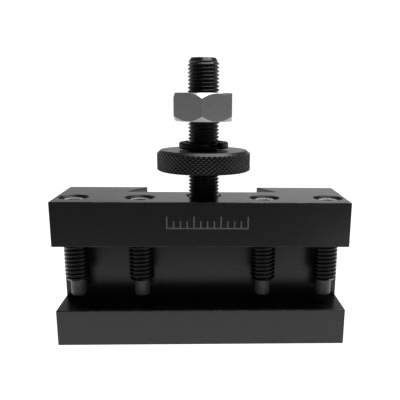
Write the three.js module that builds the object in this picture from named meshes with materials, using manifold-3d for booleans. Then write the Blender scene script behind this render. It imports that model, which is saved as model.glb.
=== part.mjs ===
// Dovetail tool holder for a lathe's quick change tool post, with height stud, knurled nut and lock nut.
// Millimetres, +Z up. The origin is the centre of the block's underside.
// The tool slot faces -Y, the dovetail +Y.
import * as THREE from 'three';
import { mergeVertices } from 'three/addons/utils/BufferGeometryUtils.js';
import Module from 'manifold-3d';

const wasm = await Module();
wasm.setup();

const QUARTER = Math.PI / 2;
const AROUND = 48;             // sides of every round surface
const RUN = 0.07;              // radial clearance of anything that runs in or on a thread
const PAST = 1;                // how far a cutting solid reaches past the face it opens

// block
const LENGTH = 88.9, DEPTH = 30.0, HEIGHT = 44.8;
const FRONT = -DEPTH / 2, BACK = DEPTH / 2;
const BAR = 13.5;              // height of the bar that carries the clamp screws
const LEDGE = 11.3;            // height of the ledge that the tool stands on
const SLOT = 15.3;             // depth of the tool slot from the front face
const EDGE = 0.35;             // chamfer on the block's outer edges

// dovetail in the block's back: half widths at mouth and floor, the flat lip, and the cut-off floor corner
const DOVE_DEPTH = 10.2, MOUTH = 18.55, FLOOR = 23.7, LIP = 0.8, RELIEF = 0.9;

// clamp screws, M8 x 1.25 with a dog point
const SCREW_X = [-38.9, -18.9, 19.2, 38.9];
const SCREW_Y = FRONT + 8.75;
const SCREW_R = 3.95, SCREW_LEN = 30.4, SCREW_END = 0.7;
const SCREW_DROP = 17.45;      // from the bar's underside down to the tip
const DOG_R = 2.4, DOG_LEN = 5.1, DOG_END = 0.4, DOG_FILLET = 0.2;
const SOCKET_AF = 4.0, SOCKET_DEPTH = 4.5;
const SCREW_SINK_R = 4.7;      // rim of the countersink above each screw

// height stud, 9.5 mm over a fine thread, and what rides on it; heights are above the block's top face
const STUD_X = 0.55, STUD_Y = FRONT + 13.05;
const STUD_R = 4.75, STUD_TIP_R = 3.65, STUD_END = 1.6, STUD_UP = 40.8, STUD_IN = 10.6;
const STUD_FLOOR = 0.3;        // gap under the stud in its blind hole
const STUD_SINK_R = 5.6;
const NUT_BORE = STUD_R + RUN, BORE_END = 0.5;
const DISC_R = 14.35, DISC_LOW = 7.85, DISC_HIGH = 14.1;
const UPPER_CHAMFER = 1.0, UPPER_RIM = DISC_R - 1.15, LOWER_CHAMFER = 0.4, LOWER_RIM = DISC_R - 0.7;
const KNURLS = 56, KNURL_ROWS = 8, KNURL_DEEP = 0.45;
const WASHER_IN = 5.4, WASHER_OUT = 7.55, WASHER_HIGH = 2.0, WASHER_RISE = 0.4, WASHER_LIFT = 0.05;
// the split is oblique: from and to angles, in degrees, along the wire's underside and along its top
const WASHER_UNDER = [-54, -400], WASHER_OVER = [-80, -404], WASHER_STEPS = 44;
const NUT_AF = 17.2, NUT_LOW = 22.65, NUT_HIGH = 30.85, NUT_TURN = -92.7;
const NUT_FACE = 0.1, NUT_SLOPE = 48;  // the chamfer starts just inside the flats, at this slope in degrees

// witness scale cut into the front of the bar
const SCALE_X = 1.7, SCALE_Z = 37.0, SCALE_STEPS = 12, SCALE_PITCH = 2.0, SCALE_LINE = 0.4, SCALE_CUT = 0.15;
const TICK_LONG = 3.6, TICK_SHORT = 2.2, TICK_GROUP = 4;

const blackSteel = new THREE.MeshStandardMaterial({ color: 0x26272a, roughness: 0.45, metalness: 0.8 });
const screwSteel = new THREE.MeshStandardMaterial({ color: 0x17181a, roughness: 0.4, metalness: 0.8 });
const brightSteel = new THREE.MeshStandardMaterial({ color: 0x9a9b9c, roughness: 0.35, metalness: 0.9 });

// --- helpers ---

function positionsOnly(geometry) {
  const g = geometry.clone();
  g.deleteAttribute('normal');
  g.deleteAttribute('uv');
  return mergeVertices(g, 1e-4);
}

function solid(geometry) {
  const g = positionsOnly(geometry);
  return new wasm.Manifold(new wasm.Mesh({
    numProp: 3,
    vertProperties: Float32Array.from(g.attributes.position.array),
    triVerts: Uint32Array.from(g.index.array),
  }));
}

function surface(manifold) {
  const { vertProperties, triVerts } = manifold.getMesh();
  const g = new THREE.BufferGeometry();
  g.setAttribute('position', new THREE.BufferAttribute(Float32Array.from(vertProperties), 3));
  g.setIndex(new THREE.BufferAttribute(Uint32Array.from(triVerts), 1));
  return g;
}

function named(name, geometry, material) {
  const faceted = geometry.index ? geometry.toNonIndexed() : geometry;
  faceted.computeVertexNormals();
  const mesh = new THREE.Mesh(faceted, material);
  mesh.name = name;
  return mesh;
}

// an outline of [x, y] points, extruded along +Z from z = 0
function extruded(points, height) {
  const shape = new THREE.Shape(points.map(([x, y]) => new THREE.Vector2(x, y)));
  return new THREE.ExtrudeGeometry(shape, { depth: height, bevelEnabled: false });
}

// a solid of revolution about Z, from [radius, height] pairs that start and end on the axis
function turned(profile) {
  const points = profile.map(([r, z]) => new THREE.Vector2(r, z));
  return new THREE.LatheGeometry(points, AROUND).rotateX(QUARTER);
}

function hexagon(acrossFlats, turn) {
  const r = acrossFlats / Math.sqrt(3);
  return Array.from({ length: 6 }, (_, i) => {
    const a = turn + (i * Math.PI) / 3;
    return [r * Math.cos(a), r * Math.sin(a)];
  });
}

// a skin over closed rings of points; each ring joins the next, and the last one joins the first if looped
function skin(rings, looped) {
  const n = rings[0].length, index = [];
  const spans = looped ? rings.length : rings.length - 1;
  for (let k = 0; k < spans; k++) {
    for (let i = 0; i < n; i++) {
      const next = ((k + 1) % rings.length) * n;
      const a = k * n + i, b = k * n + ((i + 1) % n), c = next + i, d = next + ((i + 1) % n);
      if ((i + k) % 2) index.push(a, b, c, b, d, c);
      else index.push(a, b, d, a, d, c);
    }
  }
  const g = new THREE.BufferGeometry();
  g.setAttribute('position', new THREE.Float32BufferAttribute(rings.flat(2), 3));
  g.setIndex(index);
  return g;
}

// --- the block ---

// bar, web and ledge with the open tool slot at -Y, extruded along the block
function sectionAcross() {
  const e = EDGE, top = HEIGHT, bar = HEIGHT - BAR, wall = FRONT + SLOT;
  const outline = [
    [FRONT + e, 0], [BACK - e, 0], [BACK, e], [BACK, top - e], [BACK - e, top],
    [FRONT + e, top], [FRONT, top - e], [FRONT, bar + e], [FRONT + e, bar],
    [wall, bar], [wall, LEDGE], [FRONT + e, LEDGE], [FRONT, LEDGE - e], [FRONT, e],
  ];
  return extruded(outline, LENGTH).translate(0, 0, -LENGTH / 2).rotateX(QUARTER).rotateZ(QUARTER);
}

// the block from above, with the dovetail cut into its back
function outlineAbove() {
  const h = LENGTH / 2, floor = BACK - DOVE_DEPTH, e = EDGE;
  const half = [
    [h - e, FRONT], [h, FRONT + e], [h, BACK - e], [h - e, BACK], [MOUTH + e, BACK], [MOUTH, BACK - e],
    [MOUTH, BACK - LIP], [FLOOR, floor + RELIEF], [FLOOR, floor], [FLOOR - RELIEF, floor],
  ];
  const outline = half.concat(half.map(([x, y]) => [-x, y]).reverse());
  return extruded(outline, HEIGHT + 2 * PAST).translate(0, 0, -PAST);
}

// the block from the front, with its four outer corners chamfered
function outlineFront() {
  const h = LENGTH / 2, e = EDGE, t = HEIGHT;
  const outline = [
    [-h + e, 0], [h - e, 0], [h, e], [h, t - e], [h - e, t], [-h + e, t], [-h, t - e], [-h, e],
  ];
  return extruded(outline, DEPTH + 2 * PAST).translate(0, 0, -DEPTH / 2 - PAST).rotateX(QUARTER);
}

// a hole of radius r down to height low, opening at the top face in a 45 degree countersink
function countersunkHole(r, low, rim) {
  return turned([
    [0, low], [r, low], [r, HEIGHT - (rim - r)], [rim + PAST, HEIGHT + PAST], [0, HEIGHT + PAST],
  ]);
}

// a base line with short ticks, every fourth one longer
function scaleCuts() {
  const span = SCALE_STEPS * SCALE_PITCH, deep = SCALE_CUT + PAST;
  const line = (x, z, wide, high) => solid(
    new THREE.BoxGeometry(wide, deep, high).translate(x, FRONT + SCALE_CUT - deep / 2, z),
  );
  let cuts = line(SCALE_X, SCALE_Z, span + SCALE_LINE, SCALE_LINE);
  for (let i = 0; i <= SCALE_STEPS; i++) {
    const tall = i % TICK_GROUP === 0 ? TICK_LONG : TICK_SHORT;
    cuts = cuts.add(line(SCALE_X - span / 2 + i * SCALE_PITCH, SCALE_Z + tall / 2, SCALE_LINE, tall));
  }
  return cuts;
}

function holderBody() {
  let block = solid(sectionAcross()).intersect(solid(outlineAbove())).intersect(solid(outlineFront()));
  for (const x of SCREW_X) {
    const hole = countersunkHole(SCREW_R + RUN, HEIGHT - BAR - PAST, SCREW_SINK_R).translate(x, SCREW_Y, 0);
    block = block.subtract(solid(hole));
  }
  const studHole = countersunkHole(NUT_BORE, HEIGHT - STUD_IN - STUD_FLOOR, STUD_SINK_R);
  block = block.subtract(solid(studHole.translate(STUD_X, STUD_Y, 0))).subtract(scaleCuts());
  return named('holder_body', surface(block), blackSteel);
}

// --- the clamp screws ---

// hexagon socket above, threaded shank, dog point below; z = 0 at the tip
function clampScrew(number) {
  const neck = DOG_LEN, top = SCREW_LEN;
  const shank = turned([
    [0, 0], [DOG_R - DOG_END, 0], [DOG_R, DOG_END], [DOG_R, neck - DOG_FILLET], [SCREW_R - SCREW_END, neck],
    [SCREW_R, neck + SCREW_END], [SCREW_R, top - SCREW_END], [SCREW_R - SCREW_END, top], [0, top],
  ]);
  const socket = extruded(hexagon(SOCKET_AF, Math.PI / 6), SOCKET_DEPTH + PAST)
    .translate(0, 0, top - SOCKET_DEPTH);
  return named(`clamp_screw_${number}`, surface(solid(shank).subtract(solid(socket))), screwSteel);
}

function clampScrews() {
  return SCREW_X.map((x, i) => {
    const screw = clampScrew(i + 1);
    screw.position.set(x, SCREW_Y, HEIGHT - BAR - SCREW_DROP);
    return screw;
  });
}

// --- the height stud and what rides on it; z = 0 at the block's top face ---

function heightStud() {
  const slope = STUD_R - STUD_TIP_R;
  return named('height_stud', turned([
    [0, -STUD_IN], [STUD_TIP_R, -STUD_IN], [STUD_R, slope - STUD_IN],
    [STUD_R, STUD_UP - STUD_END], [STUD_TIP_R, STUD_UP], [0, STUD_UP],
  ]), screwSteel);
}

// round nut with a diamond knurl between two chamfers: raised and sunk points alternate around and along it
function knurledNut() {
  const points = KNURLS * 2, start = DISC_LOW + LOWER_CHAMFER, band = DISC_HIGH - UPPER_CHAMFER - start;
  const ring = (z, radiusAt) => Array.from({ length: points }, (_, i) => {
    const a = (2 * Math.PI * i) / points, r = radiusAt(i);
    return [r * Math.cos(a), r * Math.sin(a), z];
  });
  const plain = (r, z) => ring(z, () => r);
  const knurl = Array.from({ length: KNURL_ROWS + 1 }, (_, j) => ring(
    start + (band * j) / KNURL_ROWS,
    (i) => DISC_R - ((i + j) % 2) * KNURL_DEEP,
  ));
  return named('knurled_nut', skin([
    plain(NUT_BORE + BORE_END, DISC_LOW), plain(LOWER_RIM, DISC_LOW), ...knurl,
    plain(UPPER_RIM, DISC_HIGH), plain(NUT_BORE + BORE_END, DISC_HIGH),
    plain(NUT_BORE, DISC_HIGH - BORE_END), plain(NUT_BORE, DISC_LOW + BORE_END),
  ], true), blackSteel);
}

// split spring washer: a square wire ring, cut obliquely at the front right, that lifts away from its low end
function springWasher() {
  const section = [[WASHER_IN, 0], [WASHER_OUT, 0], [WASHER_OUT, WASHER_HIGH], [WASHER_IN, WASHER_HIGH]];
  const rings = Array.from({ length: WASHER_STEPS + 1 }, (_, i) => {
    const t = i / WASHER_STEPS, lift = WASHER_LIFT + WASHER_RISE * Math.min(1, 2 * t);
    return section.map(([r, up]) => {
      const [from, to] = up ? WASHER_OVER : WASHER_UNDER;
      const a = THREE.MathUtils.degToRad(THREE.MathUtils.lerp(from, to, t));
      return [r * Math.cos(a), r * Math.sin(a), DISC_HIGH + lift + up];
    });
  });
  const g = skin(rings, false);
  const end = WASHER_STEPS * section.length;
  const ends = [0, 2, 1, 0, 3, 2, end, end + 1, end + 2, end, end + 2, end + 3];
  g.setIndex([...g.index.array, ...ends]);
  return named('spring_washer', g, blackSteel);
}

// hexagon lock nut, chamfered on both faces, one corner to the front
function lockNut() {
  const corner = NUT_AF / Math.sqrt(3) + NUT_FACE, face = NUT_AF / 2 - NUT_FACE;
  const drop = (corner - face) * Math.tan(THREE.MathUtils.degToRad(NUT_SLOPE)), flare = BORE_END + PAST;
  const turn = THREE.MathUtils.degToRad(NUT_TURN);
  const hex = extruded(hexagon(NUT_AF, turn), NUT_HIGH - NUT_LOW).translate(0, 0, NUT_LOW);
  const cones = turned([
    [0, NUT_LOW], [face, NUT_LOW], [corner, NUT_LOW + drop],
    [corner, NUT_HIGH - drop], [face, NUT_HIGH], [0, NUT_HIGH],
  ]);
  const bore = turned([
    [0, NUT_LOW - PAST], [NUT_BORE + flare, NUT_LOW - PAST], [NUT_BORE, NUT_LOW + BORE_END],
    [NUT_BORE, NUT_HIGH - BORE_END], [NUT_BORE + flare, NUT_HIGH + PAST], [0, NUT_HIGH + PAST],
  ]);
  return named('lock_nut', surface(solid(hex).intersect(solid(cones)).subtract(solid(bore))), brightSteel);
}

function studGroup() {
  const group = new THREE.Group();
  group.position.set(STUD_X, STUD_Y, HEIGHT);
  group.add(heightStud(), knurledNut(), springWasher(), lockNut());
  return group;
}

const holder = new THREE.Group();
holder.add(holderBody(), studGroup(), ...clampScrews());
export default holder;
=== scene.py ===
"""Dovetail tool holder for a lathe's quick change tool post, in blackened steel.

Lengths in the code are millimetres; only the numbers inside material nodes are in metres.
"""

import math

import bmesh
import bpy
from mathutils import Matrix, Vector

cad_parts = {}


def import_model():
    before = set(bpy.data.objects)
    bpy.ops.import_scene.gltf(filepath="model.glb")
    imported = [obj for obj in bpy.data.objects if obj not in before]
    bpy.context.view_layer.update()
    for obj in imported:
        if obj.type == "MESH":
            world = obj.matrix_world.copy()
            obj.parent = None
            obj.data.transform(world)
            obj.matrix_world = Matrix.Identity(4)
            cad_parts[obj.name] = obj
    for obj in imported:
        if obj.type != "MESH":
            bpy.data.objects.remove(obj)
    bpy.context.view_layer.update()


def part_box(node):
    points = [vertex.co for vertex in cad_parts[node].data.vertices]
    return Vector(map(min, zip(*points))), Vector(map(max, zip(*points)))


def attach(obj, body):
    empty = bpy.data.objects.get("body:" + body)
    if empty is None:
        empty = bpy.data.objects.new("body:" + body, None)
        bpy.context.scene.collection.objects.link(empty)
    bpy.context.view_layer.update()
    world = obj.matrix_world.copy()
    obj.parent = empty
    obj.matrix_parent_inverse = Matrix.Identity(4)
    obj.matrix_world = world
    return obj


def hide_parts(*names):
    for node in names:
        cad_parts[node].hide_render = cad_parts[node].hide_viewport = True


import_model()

MM = 0.001
TAU = 2 * math.pi


def cad(node):
    """Lowest and highest corner of a CAD node, in millimetres."""
    low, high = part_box(node)
    return low / MM, high / MM


BODY_LOW, BODY_HIGH = cad("holder_body")
STUD_LOW, STUD_HIGH = cad("height_stud")
DISC_LOW, DISC_HIGH = cad("knurled_nut")
WASHER_LOW, WASHER_HIGH = cad("spring_washer")
NUT_LOW, NUT_HIGH = cad("lock_nut")
SCREWS = [f"clamp_screw_{i}" for i in (1, 2, 3, 4)]

# the block
FRONT, BACK, TOP = BODY_LOW.y, BODY_HIGH.y, BODY_HIGH.z
HALF = BODY_HIGH.x
BAR, LEDGE, SLOT = 13.5, 11.3, 15.3
DOVE_DEPTH, MOUTH, FLOOR, LIP, RELIEF = 10.2, 18.55, 23.7, 0.8, 0.9
EDGE_ROUND = 0.28
PAST = 1.0                     # how far a cutting shape reaches past the surface it cuts
SCREW_SINK, STUD_SINK = 4.7, 5.6
HOLE_GAP = 0.07                # running clearance between thread and hole
STUD_FLOOR = 0.3               # the stud's hole is this much deeper than the stud

# the clamp screws, M8 x 1.25
SCREW_R, SCREW_PITCH, SCREW_DEEP, SCREW_END = 3.95, 1.25, 0.66, 0.7
DOG_R, DOG_LEN, DOG_END = 2.4, 5.1, 0.4
SOCKET_AF, SOCKET_DEPTH, SOCKET_LEAD = 4.0, 4.5, 0.22
SOCKET_RIM = 2.75              # the key has worn the end face bright this far out
SOCKET_TURN = math.radians(37)  # each screw stands turned this much further than the one before

# the stud and what rides on it
STUD_X, STUD_Y = (STUD_LOW.x + STUD_HIGH.x) / 2, (STUD_LOW.y + STUD_HIGH.y) / 2
STUD_R, STUD_PITCH, STUD_DEEP, STUD_TIP, STUD_END = 4.75, 25.4 / 24, 0.58, 3.65, 1.6
NUT_BORE, BORE_END = STUD_R + HOLE_GAP, 0.5
DISC_R = 14.35
UPPER_CHAMFER, UPPER_RIM = 1.0, DISC_R - 1.15
LOWER_CHAMFER, LOWER_RIM = 0.4, DISC_R - 0.7
KNURLS, KNURL_ROWS, KNURL_DEEP, KNURL_FLAT = 56, 4, 0.32, 0.06
WASHER_IN, WASHER_OUT, WASHER_TALL = 5.4, 7.55, 2.0
WASHER_SOFT = 0.6              # rounding of the wire's edges
# the oblique split: degrees from the low end to the high end, on the wire's underside and on its top
WASHER_UNDER, WASHER_OVER = (-54, -400), (-80, -404)
NUT_AF, NUT_FACE, NUT_SLOPE, NUT_TURN = 17.2, 0.1, math.radians(48), math.radians(-92.7)

# the witness scale on the bar
SCALE_X, SCALE_Z, SCALE_STEPS, SCALE_PITCH, SCALE_LINE, SCALE_CUT = 1.7, 37.0, 12, 2.0, 0.4, 0.15
TICK_LONG, TICK_SHORT, TICK_GROUP = 3.6, 2.2, 4
FILL_BACK = 0.03               # the fill lies this far under the face
FILL_GAP = 0.001               # and stops this far short of the bottom of the cut

AROUND = 60                    # points round a threaded piece, a multiple of 6 so that hexagons meet it

# one turn of thread as (place along the pitch, share of the depth): rounded crest, flank, narrow root
THREAD_PROFILE = ((-0.10, 0.06), (-0.04, 0.0), (0.04, 0.0), (0.10, 0.06), (0.46, 1.0), (0.54, 1.0))

EVEN = (1.0, 1.0, 1.0)         # noise that is not stretched along any axis


# ---------------------------------------------------------------- materials


class Nodes:
    """A material's node tree, with short ways to add and link."""

    def __init__(self, name):
        self.material = bpy.data.materials.new(name)
        self.material.use_nodes = True
        self.tree = self.material.node_tree
        self.shader = self.tree.nodes["Principled BSDF"]

    def add(self, kind, **values):
        node = self.tree.nodes.new(kind)
        for key, value in values.items():
            if key in node.inputs:
                node.inputs[key].default_value = value
            else:
                setattr(node, key, value)
        return node

    def link(self, source, target):
        self.tree.links.new(source, target)

    def noise(self, scale, detail, rough, stretch=EVEN):
        """Noise in the piece's own coordinates, per metre; a stretch below 1 draws it out along that axis."""
        coord = self.add("ShaderNodeTexCoord")
        mapping = self.add("ShaderNodeMapping")
        mapping.inputs["Scale"].default_value = stretch
        node = self.add("ShaderNodeTexNoise", Scale=scale, Detail=detail, Roughness=rough)
        self.link(coord.outputs["Object"], mapping.inputs["Vector"])
        self.link(mapping.outputs["Vector"], node.inputs["Vector"])
        return node.outputs["Fac"]

    def ramp(self, factor, stops):
        """A colour ramp between two (place, colour) stops."""
        node = self.add("ShaderNodeValToRGB")
        for element, (place, colour) in zip(node.color_ramp.elements, stops):
            element.position = place
            element.color = (*colour, 1.0)
        self.link(factor, node.inputs["Fac"])
        return node.outputs["Color"]

    def spread(self, factor, low, high, start=0.3, end=0.7):
        """Maps start to end onto low to high; the defaults are noise's useful middle."""
        node = self.add("ShaderNodeMapRange")
        for key, value in (("From Min", start), ("From Max", end), ("To Min", low), ("To Max", high)):
            node.inputs[key].default_value = value
        self.link(factor, node.inputs["Value"])
        return node.outputs["Result"]

    def bump(self, factor, distance, strength, under=None):
        node = self.add("ShaderNodeBump", Distance=distance, Strength=strength)
        self.link(factor, node.inputs["Height"])
        if under is not None:
            self.link(under, node.inputs["Normal"])
        return node.outputs["Normal"]


def black_oxide(name, grain, dark, light, gloss, specular):
    """Hot blackened steel: near black, oily, with fine machining lines along grain and faint mottling."""
    m = Nodes(name)
    m.shader.inputs["Metallic"].default_value = 0.0
    m.shader.inputs["IOR"].default_value = 1.5
    m.shader.inputs["Specular IOR Level"].default_value = specular
    mottle = m.noise(300.0, 6.0, 0.7)
    lines = m.noise(5200.0, 3.0, 0.5, grain)
    tint = m.ramp(mottle, [(0.3, (dark, dark, dark * 1.12)), (0.7, (light, light, light * 1.08))])
    m.link(tint, m.shader.inputs["Base Color"])
    m.link(m.spread(lines, *gloss), m.shader.inputs["Roughness"])
    fine = m.bump(lines, 0.000002, 0.4)
    m.link(m.bump(mottle, 0.000008, 0.2, fine), m.shader.inputs["Normal"])
    return m.material


def bright_steel(name, grain):
    """Plain machined steel: cool grey, with turning lines and a soft uneven sheen."""
    m = Nodes(name)
    m.shader.inputs["Metallic"].default_value = 1.0
    mottle = m.noise(240.0, 5.0, 0.6)
    lines = m.noise(6000.0, 3.0, 0.5, grain)
    tint = m.ramp(mottle, [(0.3, (0.43, 0.43, 0.44)), (0.7, (0.46, 0.46, 0.47))])
    m.link(tint, m.shader.inputs["Base Color"])
    m.link(m.spread(lines, 0.26, 0.29), m.shader.inputs["Roughness"])
    m.link(m.bump(lines, 0.000001, 0.05), m.shader.inputs["Normal"])
    return m.material


def pale_painted_reflection_steel(name):
    """The nut's underside chamfer, pale and without reflections: its near-white colour is a painted
    reflection of the white floor in front.
    """
    m = Nodes(name)
    tint = m.ramp(m.noise(900.0, 4.0, 0.6), [(0.3, (0.84, 0.84, 0.85)), (0.7, (0.95, 0.95, 0.96))])
    m.link(tint, m.shader.inputs["Base Color"])
    m.shader.inputs["Roughness"].default_value = 0.5
    return m.material


def worn_edge(name):
    """The rounded edges, where the blackening is rubbed towards bare steel in places."""
    m = Nodes(name)
    m.shader.inputs["Metallic"].default_value = 0.3
    m.shader.inputs["Specular IOR Level"].default_value = 0.35
    rub = m.noise(420.0, 5.0, 0.7)
    tint = m.ramp(rub, [(0.4, (0.008, 0.008, 0.009)), (0.7, (0.05, 0.05, 0.052))])
    m.link(tint, m.shader.inputs["Base Color"])
    m.link(m.spread(rub, 0.38, 0.26), m.shader.inputs["Roughness"])
    return m.material


def bare_socket(name):
    """The screws' end faces and sockets, rubbed and scratched by keys, with patches of blackening left."""
    m = Nodes(name)
    m.shader.inputs["Metallic"].default_value = 0.6
    rub = m.noise(1900.0, 4.0, 0.7)
    tint = m.ramp(rub, [(0.34, (0.03, 0.03, 0.031)), (0.50, (0.62, 0.62, 0.63))])
    m.link(tint, m.shader.inputs["Base Color"])
    m.link(m.spread(rub, 0.5, 0.35), m.shader.inputs["Roughness"])
    m.link(m.bump(rub, 0.00006, 0.8), m.shader.inputs["Normal"])
    return m.material


def etched_fill(name):
    """The pale burnt surface in the cut scale lines."""
    m = Nodes(name)
    grain = m.noise(2600.0, 3.0, 0.7)
    tint = m.ramp(grain, [(0.3, (0.13, 0.13, 0.133)), (0.7, (0.20, 0.20, 0.205))])
    m.link(tint, m.shader.inputs["Base Color"])
    m.shader.inputs["Roughness"].default_value = 0.7
    m.link(m.bump(grain, 0.00002, 0.6), m.shader.inputs["Normal"])
    return m.material


# ---------------------------------------------------------------- mesh helpers


def from_angle(radius, angle, z):
    return Vector((radius * math.cos(angle), radius * math.sin(angle), z))


def finish_mesh(name, bm, materials, sharp=30.0):
    """Turns a bmesh in millimetres into an object in metres, smooth but sharp past that angle."""
    bmesh.ops.remove_doubles(bm, verts=bm.verts, dist=1e-4)
    bmesh.ops.dissolve_degenerate(bm, edges=bm.edges, dist=1e-5)
    bmesh.ops.recalc_face_normals(bm, faces=bm.faces)
    bmesh.ops.scale(bm, vec=(MM, MM, MM), verts=bm.verts)
    mesh = bpy.data.meshes.new(name)
    bm.to_mesh(mesh)
    bm.free()
    for face in mesh.polygons:
        face.use_smooth = True
    mesh.set_sharp_from_angle(angle=math.radians(sharp))
    for material in materials:
        mesh.materials.append(material)
    obj = bpy.data.objects.new(name, mesh)
    bpy.context.scene.collection.objects.link(obj)
    return obj


def ring(radius, z, count=AROUND):
    return [from_angle(radius, TAU * i / count, z) for i in range(count)]


def hex_radius(across, turn, angle):
    """Distance from a hexagon's centre to its side at that angle; turn is a corner's angle."""
    part = (angle - turn) % (math.pi / 3) - math.pi / 6
    return across / 2 / math.cos(part)


def hex_ring(across, turn, z):
    angles = [TAU * i / AROUND for i in range(AROUND)]
    return [from_angle(hex_radius(across, turn, angle), angle, z) for angle in angles]


def loft(bm, rings, loop=False, cap_first=False, cap_last=False):
    """Faces between rings of equal count; loop joins the last ring to the first."""
    rows = [[bm.verts.new(p) for p in r] for r in rings]
    pairs = list(zip(rows, rows[1:])) + ([(rows[-1], rows[0])] if loop else [])
    for a, b in pairs:
        n = len(a)
        for i in range(n):
            k = (i + 1) % n
            bm.faces.new((a[i], a[k], b[k], b[i]))
    if cap_first:
        bm.faces.new(rows[0])
    if cap_last:
        bm.faces.new(rows[-1])


def thread(bm, radius, pitch, deep, low, high, tips, ends):
    """A right-hand thread from low to high; tips are the end radii, ends the lengths of the end chamfers."""
    rows = len(THREAD_PROFILE)
    turns = int((high - low) / pitch) + 5

    def limit(z):
        first = tips[0] + (z - low) / ends[0] * (radius - tips[0])
        last = tips[1] + (high - z) / ends[1] * (radius - tips[1])
        return min(first, last)

    grid = []
    for turn in range(-2, turns - 2):
        for place, sunk in THREAD_PROFILE:
            row = []
            for i in range(AROUND):
                angle = TAU * i / AROUND
                z = min(max(low + (turn + place + i / AROUND) * pitch, low), high)
                r = min(radius - deep * sunk, limit(z))
                row.append(bm.verts.new(from_angle(r, angle, z)))
            grid.append(row)
    for j in range(len(grid) - rows - 1):
        for i in range(AROUND):
            if i < AROUND - 1:
                right, right_up = grid[j][i + 1], grid[j + 1][i + 1]
            else:
                right, right_up = grid[j + rows][0], grid[j + rows + 1][0]
            bm.faces.new((grid[j][i], right, right_up, grid[j + 1][i]))


def prism(name, outline, axis, low, high):
    """A closed prism: the outline's two coordinates are the two other axes, in X, Y, Z order."""
    def place(a, b, c):
        return {"X": (c, a, b), "Y": (a, c, b), "Z": (a, b, c)}[axis]

    bm = bmesh.new()
    first = [bm.verts.new(place(a, b, low)) for a, b in outline]
    last = [bm.verts.new(place(a, b, high)) for a, b in outline]
    bm.faces.new(first)
    bm.faces.new(last)
    for i in range(len(outline)):
        k = (i + 1) % len(outline)
        bm.faces.new((first[i], first[k], last[k], last[i]))
    return finish_mesh(name, bm, [])


def turned(name, profile, x, y, count=96):
    """A closed solid of revolution from (radius, z) pairs."""
    bm = bmesh.new()
    loft(bm, [ring(r, z, count) for r, z in profile], cap_first=True, cap_last=True)
    bmesh.ops.translate(bm, vec=(x, y, 0), verts=bm.verts)
    return finish_mesh(name, bm, [])


def apply_modifiers(obj):
    graph = bpy.context.evaluated_depsgraph_get()
    baked = bpy.data.meshes.new_from_object(obj.evaluated_get(graph))
    old = obj.data
    obj.modifiers.clear()
    obj.data = baked
    bpy.data.meshes.remove(old)


def cut(obj, tools):
    """Cuts tools out of obj and removes them; a tool that has a material leaves it on the cut faces."""
    for tool in tools:
        modifier = obj.modifiers.new("cut", "BOOLEAN")
        modifier.operation = "DIFFERENCE"
        modifier.solver = "EXACT"
        modifier.material_mode = "TRANSFER" if tool.data.materials else "INDEX"
        modifier.object = tool
        apply_modifiers(obj)
        bpy.data.objects.remove(tool)


def round_edges(obj, width, segments, angle, material):
    """Rounds only the outer edges that are sharper than angle, so inner corners stay crisp."""
    bm = bmesh.new()
    bm.from_mesh(obj.data)
    weight = bm.edges.layers.float.new("bevel_weight_edge")
    for e in bm.edges:
        if len(e.link_faces) == 2 and e.calc_face_angle_signed() > math.radians(angle):
            e[weight] = 1.0
    bm.to_mesh(obj.data)
    bm.free()
    modifier = obj.modifiers.new("round", "BEVEL")
    modifier.width = width * MM
    modifier.segments = segments
    modifier.limit_method = "WEIGHT"
    modifier.material = material
    apply_modifiers(obj)


def smooth_again(obj, sharp):
    """Smooth shading in which the large faces stay flat and only the small rounding faces bend."""
    for face in obj.data.polygons:
        face.use_smooth = True
    obj.data.set_sharp_from_angle(angle=math.radians(sharp))
    modifier = obj.modifiers.new("weigh", "WEIGHTED_NORMAL")
    modifier.keep_sharp = True
    modifier.weight = 100
    apply_modifiers(obj)


def declare(obj, body, nodes):
    """Says which body a piece rides, and which CAD nodes it takes the place of."""
    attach(obj, body)
    if nodes:
        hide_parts(*nodes)


# ---------------------------------------------------------------- pieces


def scale_comb(name, front, deep, materials):
    """The whole scale as one comb-shaped prism, so that its lines don't overlap."""
    span, half = SCALE_STEPS * SCALE_PITCH, SCALE_LINE / 2
    left, right = SCALE_X - span / 2 - half, SCALE_X + span / 2 + half
    outline = [(left, SCALE_Z - half), (right, SCALE_Z - half)]
    for i in reversed(range(SCALE_STEPS + 1)):
        x = SCALE_X - span / 2 + i * SCALE_PITCH
        tall = SCALE_Z + (TICK_SHORT if i % TICK_GROUP else TICK_LONG)
        low = SCALE_Z + half
        if i < SCALE_STEPS:
            outline.append((x + half, low))
        outline += [(x + half, tall), (x - half, tall)]
        if i > 0:
            outline.append((x - half, low))
    comb = prism(name, outline, "Y", front, deep)
    for material in materials:
        comb.data.materials.append(material)
    return comb


def screw_hole(node):
    low, high = cad(node)
    r = SCREW_R + HOLE_GAP
    return turned("cut_" + node, [
        (r, TOP - BAR - PAST), (r, TOP - (SCREW_SINK - r)), (SCREW_SINK + PAST, TOP + PAST),
    ], (low.x + high.x) / 2, (low.y + high.y) / 2)


def stud_hole():
    return turned("cut_stud", [
        (NUT_BORE, STUD_LOW.z - STUD_FLOOR), (NUT_BORE, TOP - (STUD_SINK - NUT_BORE)),
        (STUD_SINK + PAST, TOP + PAST),
    ], STUD_X, STUD_Y)


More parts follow.
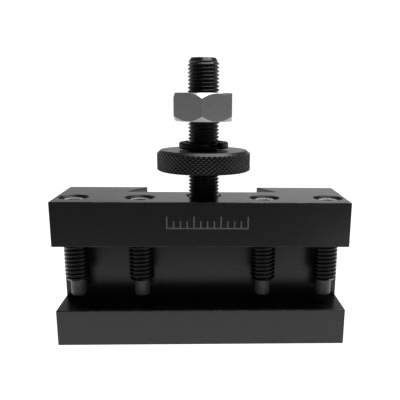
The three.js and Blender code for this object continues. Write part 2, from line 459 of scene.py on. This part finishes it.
def holder_body(black, edge, bore, fill):
    """The machined block: tool slot, dovetail, rounded edges, countersunk holes and the cut scale."""
    bar, wall = TOP - BAR, FRONT + SLOT
    section = [
        (FRONT, 0), (BACK, 0), (BACK, TOP), (FRONT, TOP),
        (FRONT, bar), (wall, bar), (wall, LEDGE), (FRONT, LEDGE),
    ]
    block = prism("holder_block", section, "X", -HALF, HALF)
    block.data.materials.append(black)
    block.data.materials.append(edge)
    floor = BACK - DOVE_DEPTH
    half = [
        (MOUTH, BACK + PAST), (MOUTH, BACK - LIP),
        (FLOOR, floor + RELIEF), (FLOOR, floor), (FLOOR - RELIEF, floor),
    ]
    dovetail = half + [(-x, y) for x, y in reversed(half)]
    cut(block, [prism("cut_dovetail", dovetail, "Z", -PAST, TOP + PAST)])
    round_edges(block, EDGE_ROUND, 3, 25, material=1)
    holes = [screw_hole(node) for node in SCREWS] + [stud_hole()]
    for hole in holes:
        hole.data.materials.append(bore)
    cut(block, holes)
    cut(block, [scale_comb("cut_scale", FRONT - PAST, FRONT + SCALE_CUT, [])])
    smooth_again(block, 30.0)
    declare(block, "holder", ["holder_body"])
    ink = scale_comb("holder_scale_fill", FRONT + FILL_BACK, FRONT + SCALE_CUT - FILL_GAP, [fill])
    declare(ink, "holder", [])


def clamp_screw(node, number, black, point, bare):
    """Right-hand thread, hexagon socket in the top with worn walls, plainer dog point below."""
    low, high = cad(node)
    neck, deep, root = low.z + DOG_LEN, high.z - SOCKET_DEPTH, SCREW_R - SCREW_END
    bm = bmesh.new()
    thread(bm, SCREW_R, SCREW_PITCH, SCREW_DEEP, neck, high.z, (root, root), (SCREW_END, SCREW_END))
    loft(bm, [
        ring(root, neck), ring(DOG_R + 0.25, neck), ring(DOG_R + 0.07, neck - 0.08),
        ring(DOG_R, neck - 0.25), ring(DOG_R, low.z + DOG_END + 0.1), ring(DOG_R - 0.04, low.z + DOG_END),
        ring(DOG_R - DOG_END + 0.05, low.z + 0.03), ring(DOG_R - DOG_END - 0.1, low.z), ring(0.6, low.z),
    ], cap_last=True)
    # faces below the neck take the dog point's lighter material, whose grey is a painted reflection of the
    # floor
    for face in bm.faces:
        face.material_index = 1 if face.calc_center_median().z < neck - 0.1 else 0
    corner = math.pi / 6
    before = set(bm.faces)
    loft(bm, [
        ring(root, high.z), ring(SOCKET_RIM, high.z), hex_ring(SOCKET_AF, corner, high.z - SOCKET_LEAD),
        hex_ring(SOCKET_AF, corner, deep), ring(0.9, deep - 0.4),
    ], cap_last=True)
    for face in set(bm.faces) - before:
        face.material_index = 2 if min(v.co.xy.length for v in face.verts) < SOCKET_RIM - 0.1 else 0
    twist = Matrix.Rotation(SOCKET_TURN * number, 3, "Z")
    bmesh.ops.rotate(bm, matrix=twist, verts=bm.verts)
    bmesh.ops.translate(bm, vec=((low.x + high.x) / 2, (low.y + high.y) / 2, 0), verts=bm.verts)
    screw = finish_mesh(f"set_screw_{number}", bm, [black, point, bare], 42)
    declare(screw, f"screw_{number}", [node])


def place_on_stud(bm):
    bmesh.ops.translate(bm, vec=(STUD_X, STUD_Y, 0), verts=bm.verts)


def height_stud(black):
    """Threaded over its whole length, with a chamfer at each end."""
    bm = bmesh.new()
    tips, ends = (STUD_TIP, STUD_TIP), (STUD_R - STUD_TIP, STUD_END)
    thread(bm, STUD_R, STUD_PITCH, STUD_DEEP, STUD_LOW.z, STUD_HIGH.z, tips, ends)
    loft(bm, [ring(STUD_TIP, STUD_LOW.z), ring(1.0, STUD_LOW.z)], cap_last=True)
    loft(bm, [ring(STUD_TIP, STUD_HIGH.z), ring(1.0, STUD_HIGH.z)], cap_last=True)
    place_on_stud(bm)
    stud = finish_mesh("threaded_stud", bm, [black], 42)
    declare(stud, "holder", ["height_stud"])


def knurled_nut(black):
    """Two families of grooves cross at the rim and leave blunt pyramids; the chamfers scallop them."""
    columns, low, high = KNURLS * 6, DISC_LOW.z, DISC_HIGH.z
    start = low + LOWER_CHAMFER
    diamond = (high - UPPER_CHAMFER - start) / KNURL_ROWS
    step = diamond / 8

    def groove(phase):
        return abs(2 * (phase % 1.0) - 1)

    def radius(angle, z):
        around, along = KNURLS * angle / TAU, (z - start) / diamond
        sunk = max(groove(around + along), groove(around - along))
        knurl = DISC_R - KNURL_DEEP * max(0.0, (sunk - KNURL_FLAT) / (1 - KNURL_FLAT))
        upper = UPPER_RIM + (high - z) / UPPER_CHAMFER * (DISC_R - UPPER_RIM)
        lower = LOWER_RIM + (z - low) / LOWER_CHAMFER * (DISC_R - LOWER_RIM)
        return min(knurl, upper, lower)

    rings = [ring(NUT_BORE + BORE_END, low, columns), ring(LOWER_RIM - 0.2, low, columns)]
    rows = round((high - low) / step)
    for j in range(rows + 1):
        z = low + (high - low) * j / rows
        r = [radius(TAU * i / columns, z) for i in range(columns)]
        rings.append([from_angle(r[i], TAU * i / columns, z) for i in range(columns)])
    rings += [ring(UPPER_RIM - 0.2, high, columns), ring(NUT_BORE + BORE_END, high, columns)]
    rings += [ring(NUT_BORE, high - BORE_END, columns), ring(NUT_BORE, low + BORE_END, columns)]
    bm = bmesh.new()
    loft(bm, rings, loop=True)
    place_on_stud(bm)
    nut = finish_mesh("knurled_height_nut", bm, [black], 24)
    declare(nut, "height_nut", ["knurled_nut"])


def wire_section():
    """The washer's square wire with rounded edges, as (radius, height) pairs."""
    soft = WASHER_SOFT
    corners = (
        (WASHER_OUT, WASHER_TALL, 0), (WASHER_IN, WASHER_TALL, 1), (WASHER_IN, 0, 2), (WASHER_OUT, 0, 3),
    )
    section = []
    for r, up, quarter in corners:
        inward = -soft if r == WASHER_OUT else soft
        down = -soft if up else soft
        for k in range(5):
            a = math.pi / 2 * (quarter + k / 4)
            section.append((r + inward + soft * math.cos(a), up + down + soft * math.sin(a)))
    return section


def spring_washer(black):
    """Wire wound a little under one turn and sprung open at its ends."""
    steps, section = 96, wire_section()
    rise = WASHER_HIGH.z - WASHER_LOW.z - WASHER_TALL

    def mix(ends, t):
        return math.radians(ends[0] + (ends[1] - ends[0]) * t)

    rings = []
    for i in range(steps + 1):
        t = i / steps
        z = WASHER_LOW.z + rise * min(1.0, 2 * t)
        turned_section = []
        for r, up in section:
            part = up / WASHER_TALL
            a = mix(WASHER_UNDER, t) * (1 - part) + mix(WASHER_OVER, t) * part
            turned_section.append(from_angle(r, a, z + up))
        rings.append(turned_section)
    bm = bmesh.new()
    loft(bm, rings, cap_first=True, cap_last=True)
    place_on_stud(bm)
    washer = finish_mesh("split_washer", bm, [black], 40)
    declare(washer, "height_washer", ["spring_washer"])


def lock_nut(steel, painted_chamfer):
    """Hexagon cut by a steep cone at both faces, so that each side shows the curved chamfer line."""
    columns, low, high = 120, NUT_LOW.z, NUT_HIGH.z
    face, slope, mouth = NUT_AF / 2 - NUT_FACE, math.tan(NUT_SLOPE), NUT_BORE + BORE_END + 0.3

    def side(z_end, sense):
        points = []
        for i in range(columns):
            a = TAU * i / columns
            r = hex_radius(NUT_AF, 0.0, a)
            points.append(from_angle(r, a, z_end + sense * (r - face) * slope))
        return points

    bm = bmesh.new()
    loft(bm, [
        ring(mouth, low, columns), ring(face - 0.1, low, columns),
        ring(face, low + 0.03, columns), side(low, 1), side(high, -1),
        ring(face, high - 0.03, columns), ring(face - 0.1, high, columns),
        ring(mouth, high, columns),
        ring(NUT_BORE, high - BORE_END, columns), ring(NUT_BORE, low + BORE_END, columns),
    ], loop=True)
    bm.normal_update()
    middle = (low + high) / 2
    # the downward-facing faces of the lower chamfer take the pale material, a painted reflection of the floor
    for f in bm.faces:
        f.material_index = 1 if f.calc_center_median().z < middle and -0.95 < f.normal.z < -0.3 else 0
    bmesh.ops.rotate(bm, matrix=Matrix.Rotation(NUT_TURN, 3, "Z"), verts=bm.verts)
    place_on_stud(bm)
    nut = finish_mesh("hex_lock_nut", bm, [steel, painted_chamfer], 20)
    declare(nut, "stud_lock_nut", ["lock_nut"])


# ---------------------------------------------------------------- camera, floor and light


def camera():
    """A close view from slightly above and nearly square to the tool slot, as in a product picture."""
    data = bpy.data.cameras.new("camera")
    data.sensor_width = 36.0
    data.lens = 53.15
    data.shift_x, data.shift_y = -0.0762, 0.1533
    data.clip_start = 5 * MM
    obj = bpy.data.objects.new("camera", data)
    yaw, pitch, roll = 0.0453, 0.2729, 0.0113
    level = math.cos(pitch)
    ahead = Vector((math.sin(yaw) * level, math.cos(yaw) * level, -math.sin(pitch)))
    right = Vector((math.cos(yaw), -math.sin(yaw), 0.0))
    up = right.cross(ahead)
    right, up = (right * math.cos(roll) + up * math.sin(roll), up * math.cos(roll) - right * math.sin(roll))
    rotation = Matrix((right, up, -ahead)).transposed()
    place = Vector((0.84, FRONT - 170.88, 74.83)) * MM
    obj.matrix_world = Matrix.Translation(place) @ rotation.to_4x4()
    bpy.context.scene.collection.objects.link(obj)
    bpy.context.scene.camera = obj


def floor():
    """A white sheet that glows, so it takes no shadow; towards the viewer it dims, less so on the right."""
    bm = bmesh.new()
    outline = ((-900, -170), (900, -170), (900, 1500), (-900, 1500))
    level = -0.02              # just below the block's underside
    bm.faces.new([bm.verts.new((x, y, level)) for x, y in outline])
    m = Nodes("floor_white")
    m.shader.inputs["Roughness"].default_value = 0.9
    m.shader.inputs["Specular IOR Level"].default_value = 0.1
    m.shader.inputs["Base Color"].default_value = (0.1, 0.1, 0.1, 1.0)
    m.shader.inputs["Emission Color"].default_value = (1.0, 1.0, 1.0, 1.0)
    coord = m.add("ShaderNodeTexCoord")
    split = m.add("ShaderNodeSeparateXYZ")
    m.link(coord.outputs["Object"], split.inputs["Vector"])
    right = m.spread(split.outputs["X"], 0.0, 0.195, 0.045, 0.10)
    along = m.add("ShaderNodeMath", operation="ADD")
    m.link(split.outputs["Y"], along.inputs[0])
    m.link(right, along.inputs[1])
    glow = m.spread(along.outputs["Value"], 0.27, 1.15, -0.088, -0.051)
    m.link(glow, m.shader.inputs["Emission Strength"])
    finish_mesh("floor", bm, [m.material])


def area(name, place, target, size, power):
    data = bpy.data.lights.new(name, "AREA")
    data.shape = "RECTANGLE"
    data.size, data.size_y = size[0] * MM, size[1] * MM
    data.energy = power
    obj = bpy.data.objects.new(name, data)
    obj.location = Vector(place) * MM
    obj.rotation_mode = "QUATERNION"
    obj.rotation_quaternion = (Vector(target) - Vector(place)).to_track_quat("-Z", "Y")
    bpy.context.scene.collection.objects.link(obj)


def world():
    """White around the horizon behind the holder, dimmer overhead, sooner so on the left, and in front."""
    w = bpy.data.worlds.new("studio")
    bpy.context.scene.world = w
    w.use_nodes = True
    tree = w.node_tree
    back = tree.nodes["Background"]
    coord = tree.nodes.new("ShaderNodeTexCoord")
    split = tree.nodes.new("ShaderNodeSeparateXYZ")
    tree.links.new(coord.outputs["Generated"], split.inputs["Vector"])

    def fade(axis, start, end, low, high):
        node = tree.nodes.new("ShaderNodeMapRange")
        node.interpolation_type = "SMOOTHSTEP"
        for key, value in (("From Min", start), ("From Max", end), ("To Min", low), ("To Max", high)):
            node.inputs[key].default_value = value
        tree.links.new(split.outputs[axis], node.inputs["Value"])
        return node

    lid = fade("Z", 0.152, 0.26, 1.0, 0.20)
    reach = fade("X", -0.17, -0.03, 0.158, 0.26)
    tree.links.new(reach.outputs["Result"], lid.inputs["From Max"])
    both = tree.nodes.new("ShaderNodeMath")
    both.operation = "MULTIPLY"
    tree.links.new(fade("Y", -0.20, 0.40, 0.21, 1.05).outputs["Result"], both.inputs[0])
    tree.links.new(lid.outputs["Result"], both.inputs[1])
    tree.links.new(both.outputs["Value"], back.inputs["Color"])


# name, grain, darkest and lightest colour, range of roughness, specular level
black = black_oxide("black_oxide_ground", (0.06, 1.0, 1.0), 0.003, 0.007, (0.25, 0.31), 0.5)
knurl_black = black_oxide("black_oxide_turned", EVEN, 0.003, 0.006, (0.28, 0.38), 0.42)
thread_black = black_oxide("black_oxide_thread", EVEN, 0.003, 0.005, (0.20, 0.26), 0.5)
# the dog points are the same black oxide as the threads; their lighter grey tint is a painted reflection of
# the floor
point_painted_reflection = black_oxide("black_oxide_point_painted_reflection", EVEN, 0.044, 0.060, (0.42, 0.50), 0.5)
bore_black = black_oxide("black_oxide_bore", EVEN, 0.003, 0.006, (0.34, 0.44), 0.25)
washer_black = black_oxide("black_oxide_washer", EVEN, 0.004, 0.009, (0.42, 0.50), 0.15)
bare = bare_socket("worn_socket")
edge = worn_edge("black_oxide_edge")

camera()
world()
floor()
area("key", (80, 40, 460), (0, 0, 30), (340, 340), 1.9)
holder_body(black, edge, bore_black, etched_fill("etched_scale"))
for index, node in enumerate(SCREWS):
    clamp_screw(node, index + 1, thread_black, point_painted_reflection, bare)
height_stud(thread_black)
knurled_nut(knurl_black)
spring_washer(washer_black)
# the nut's lower chamfer is painted pale as a reflection of the floor
lock_nut(bright_steel("machined_nut", (1.0, 1.0, 0.1)), pale_painted_reflection_steel("chamfer_painted_reflection"))

bpy.context.scene.view_settings.view_transform = "Standard"
bpy.context.scene.view_settings.look = "None"
